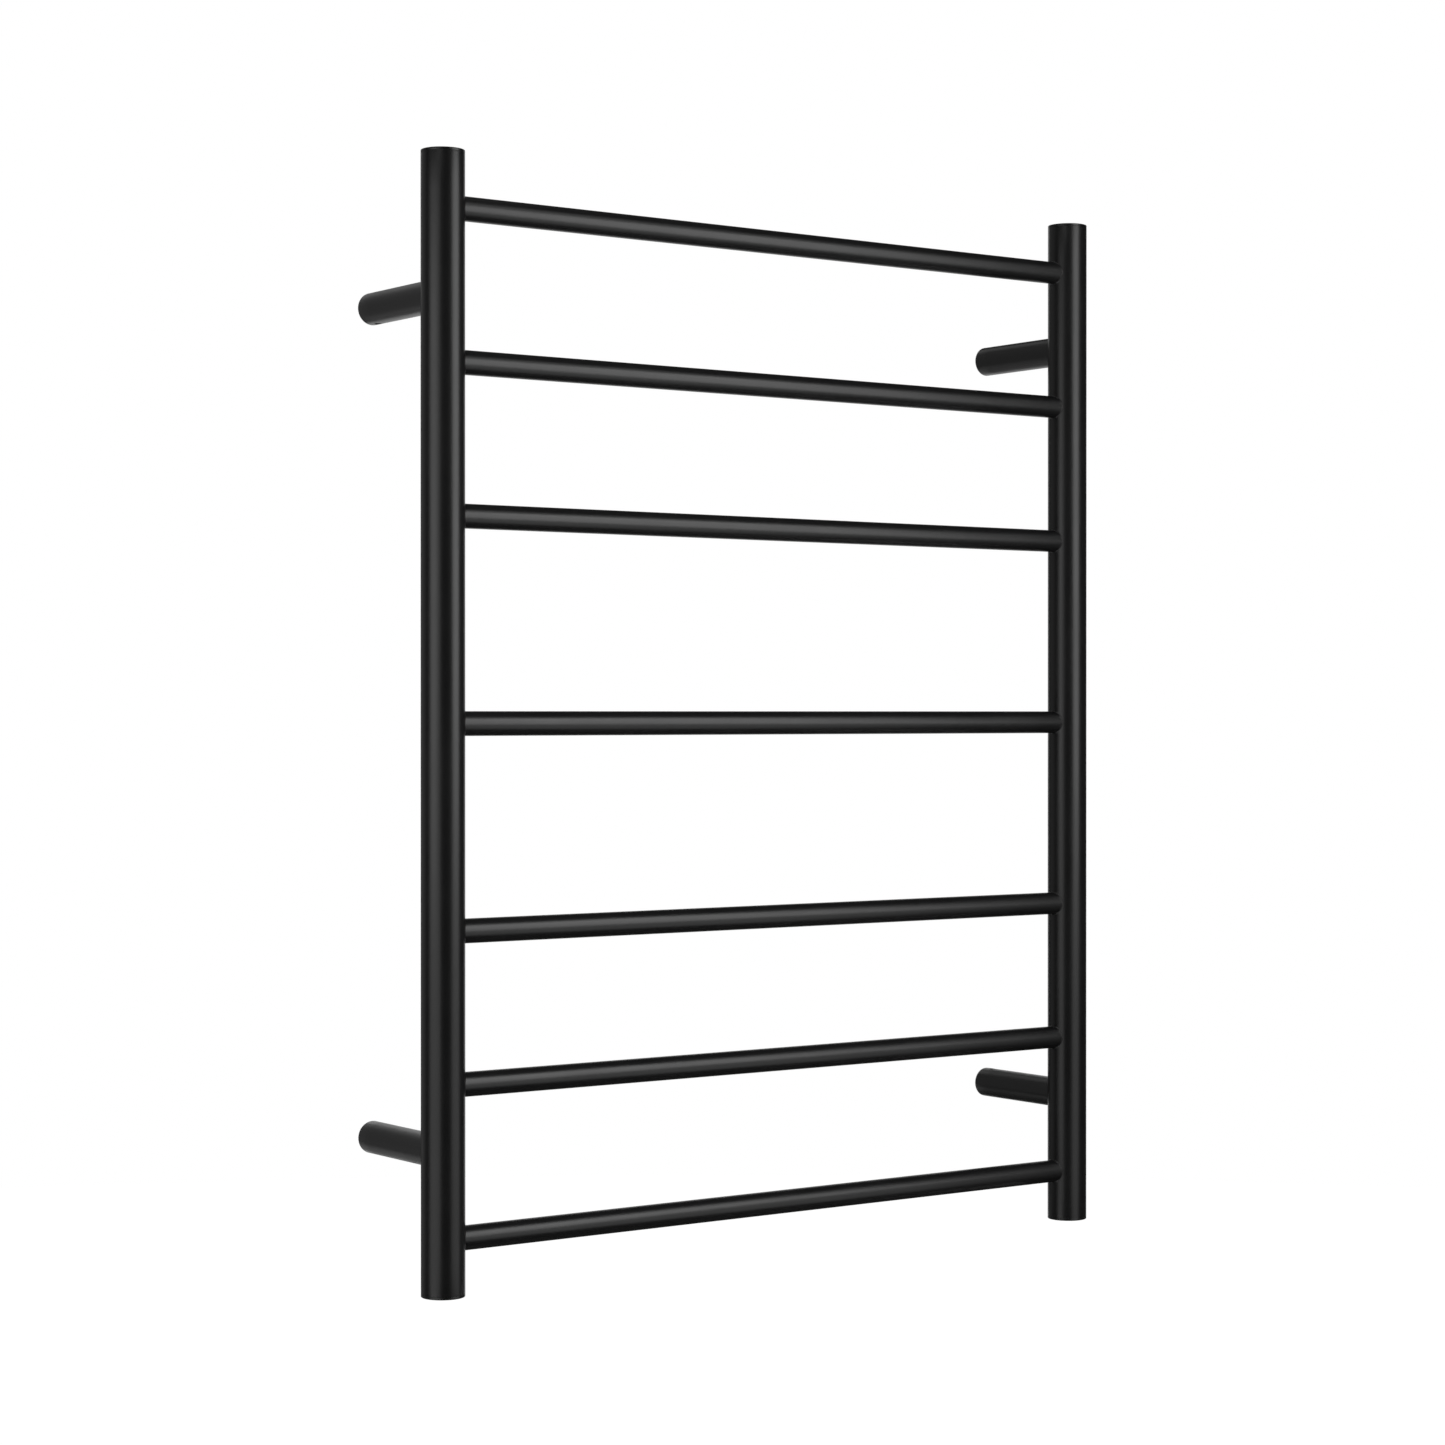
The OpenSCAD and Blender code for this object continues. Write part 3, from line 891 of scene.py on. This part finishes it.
FINISHES = {
    "coated_steel": powder_coat(),
    "black_screw_steel": metal(
        "black_oxide_steel", 0.6 * MM, ((0.030, 0.030, 0.033), (0.085, 0.083, 0.082)),
        (0.28, 0.46), 0.004 * MM),
    "boss_aluminium": metal(
        "turned_aluminium", 5 * MM, ((0.56, 0.57, 0.58), (0.66, 0.66, 0.67)),
        (0.26, 0.38), 0.004 * MM, turning_marks),
    "zinc_plated_steel": metal(
        "zinc_plated_steel", 2 * MM, ((0.52, 0.54, 0.57), (0.66, 0.67, 0.68)),
        (0.28, 0.44), 0.003 * MM),
    "terminal_brass": metal(
        "terminal_brass", 2 * MM, ((0.62, 0.43, 0.17), (0.76, 0.56, 0.27)),
        (0.26, 0.42), 0.003 * MM),
    "silicone_sheath": soft(
        "red_silicone", 0.5 * MM, ((0.27, 0.030, 0.020), (0.34, 0.048, 0.034)),
        (0.42, 0.56), 0.012 * MM),
    "shrink_tube": soft(
        "black_shrink_tube", 0.9 * MM, ((0.010, 0.010, 0.011), (0.016, 0.016, 0.017)),
        (0.36, 0.50), 0.030 * MM, stretch=(2, 0.3, 1)),
    "grommet_rubber": soft(
        "black_rubber", 0.35 * MM, ((0.014, 0.014, 0.014), (0.024, 0.023, 0.022)),
        (0.60, 0.76), 0.012 * MM, specular=0.35),
    "earth_insulation": soft(
        "green_yellow_insulation", 0.3 * MM, ((0.035, 0.23, 0.03), (0.75, 0.52, 0.02)),
        (0.32, 0.42), 0.004 * MM, pattern=side_stripes),
}

# ---- The pieces ----


def stand_for(piece, body, slot):
    """The piece rides on its body in place of the CAD node of the same name."""
    piece.data.materials.clear()
    piece.data.materials.append(FINISHES[slot])
    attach(piece, body)
    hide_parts(piece.name.removesuffix("_fine"))


for node in BARS:
    stand_for(bar(node), "rack", "coated_steel")
for side in SIDES:
    stand_for(post(side), "rack", "coated_steel")
for corner in CORNERS:
    stand_for(end_cap(corner), "rack", "coated_steel")
    stand_for(standoff(corner), "rack", "coated_steel")
    stand_for(grub_screw(corner), f"grub_{corner}", "black_screw_steel")
    stand_for(wall_boss(corner), "wall_bosses", "boss_aluminium")
stand_for(heating_cable(), "rack", "silicone_sheath")
stand_for(cable_end_seal(), "rack", "shrink_tube")
stand_for(splice_sleeve(), "rack", "shrink_tube")
stand_for(cable_grommet(), "rack", "grommet_rubber")
stand_for(earth_stud(), "rack", "zinc_plated_steel")
stand_for(earth_lug(), "rack", "terminal_brass")
stand_for(earth_washer(), "rack", "zinc_plated_steel")
stand_for(earth_nut(), "rack", "zinc_plated_steel")
stand_for(earth_wire(), "rack", "earth_insulation")

# ---- Floor, backdrop, light and camera ----

STAGE_R = 40.0
FLOOR_Z = -6.0


def glow(name, strength, color=(1, 1, 1)):
    """A material that shines evenly."""
    material = bpy.data.materials.new(name)
    material.use_nodes = True
    tree = material.node_tree
    tree.nodes.clear()
    emission = node_with(tree, "ShaderNodeEmission", Color=(*color, 1), Strength=strength)
    output = tree.nodes.new("ShaderNodeOutputMaterial")
    tree.links.new(emission.outputs["Emission"], output.inputs["Surface"])
    return material


def seen_only(stage_piece):
    """The piece is seen, but sends no light to the rack."""
    stage_piece.visible_diffuse = False
    stage_piece.visible_glossy = False
    stage_piece.visible_transmission = False
    stage_piece.visible_shadow = False


def backdrop():
    """A white ball round the whole stage."""
    point = polar(Vector((0, 0, 0)), Z, X)
    profile = [(-STAGE_R, 0)] + arc((0, 0), STAGE_R, 170, 10, 16) + [(STAGE_R, 0)]
    dome = turned("backdrop", point, profile, 48, False)
    dome.data.materials.append(glow("white_backdrop", 1.0))
    seen_only(dome)


def floor():
    """A pale disc, far enough down for a camera that looks up at the rack."""
    point = polar(Vector((0, 0, FLOOR_Z)), Z, X)
    disc = turned("floor", point, [(0, 0), (0, 0.95 * STAGE_R)], 64, False)
    material, tree, shader = new_material("pale_floor", Roughness=0.9)
    shader.inputs["Base Color"].default_value = (0.9, 0.9, 0.9, 1)
    shader.inputs["Emission Color"].default_value = (1, 1, 1, 1)
    shader.inputs["Emission Strength"].default_value = 1.0
    disc.data.materials.append(material)
    seen_only(disc)


def softbox(name, bearing, distance, height, size, radiance, aim_x=0.0):
    """A soft light that faces the plane of the posts at aim_x.

    The bearing is in degrees from the front, towards +X, and the radiance is its
    brightness against the white backdrop's.
    """
    wide, tall = size
    angle = math.radians(bearing)
    place = Vector((math.sin(angle) * distance, POST_Y - math.cos(angle) * distance, height))
    light = bpy.data.lights.new(name, "AREA")
    light.shape = "RECTANGLE"
    light.size = wide
    light.size_y = tall
    light.energy = radiance * math.pi * wide * tall
    lamp = bpy.data.objects.new(name, light)
    lamp.location = place
    aim = Vector((aim_x, POST_Y, 0))
    lamp.rotation_euler = (aim - place).to_track_quat("-Z", "Y").to_euler()
    lamp.visible_camera = False
    bpy.context.scene.collection.objects.link(lamp)


def studio():
    """The even part of the light, the softboxes of the photo's view, and six for the rest."""
    world = bpy.data.worlds.new("studio")
    world.use_nodes = True
    background = world.node_tree.nodes["Background"]
    background.inputs["Color"].default_value = (1, 1, 1, 1)
    background.inputs["Strength"].default_value = 0.035
    bpy.context.scene.world = world
    softbox("key_upper", 22.5, 1.0, 0.30, (0.82, 0.88), 2.8, aim_x=-0.95)
    softbox("key_lower", 18, 0.95, -0.45, (1.0, 0.63), 0.85, aim_x=-1.0)
    softbox("key_above", 34, 2.0, 1.56, (0.74, 1.26), 1.15)
    softbox("fill_inner", 278, 0.83, 0.14, (0.33, 0.57), 0.9)
    softbox("fill_outer", 283, 1.13, -0.06, (0.9, 1.34), 0.96)
    softbox("back_left", 212, 1.5, 0.3, (1.25, 2.3), 0.2)
    softbox("back_right", 142, 3.7, -0.2, (3.8, 3.4), 0.8)
    softbox("back_low", 184, 3.0, -1.75, (2.4, 0.9), 0.42)
    softbox("back_high", 172, 4.0, 2.3, (1.9, 3.2), 0.37)
    softbox("overhead", 0, 0.2, 2.2, (0.9, 0.9), 1.6)
    softbox("back_top", 180, 0.8, 2.1, (1.1, 0.5), 1.3)
    softbox("underneath", 0, 0.2, -2.2, (0.9, 0.9), 1.0)
    softbox("low_left", 275, 1.9, -1.6, (1.1, 0.9), 1.9)
    softbox("low_right", 92, 1.9, -1.5, (0.6, 0.7), 1.3)
    softbox("high_left", 308, 1.9, 1.5, (0.9, 0.7), 1.5)


def camera():
    """Left of the rack and level with its middle, turned to the right."""
    place = Vector((-1.4443, -2.0469, 0.0078))
    heading = math.radians(35.615)
    tilt = math.radians(-0.178)
    look = Vector((math.sin(heading) * math.cos(tilt), math.cos(heading) * math.cos(tilt),
                   math.sin(tilt)))
    data = bpy.data.cameras.new("camera")
    data.sensor_width = 36
    data.lens = 77.74
    eye = bpy.data.objects.new("camera", data)
    eye.location = place
    eye.rotation_euler = look.to_track_quat("-Z", "Y").to_euler()
    bpy.context.scene.collection.objects.link(eye)
    bpy.context.scene.camera = eye


bpy.context.scene.view_settings.view_transform = "Standard"
backdrop()
floor()
studio()
camera()
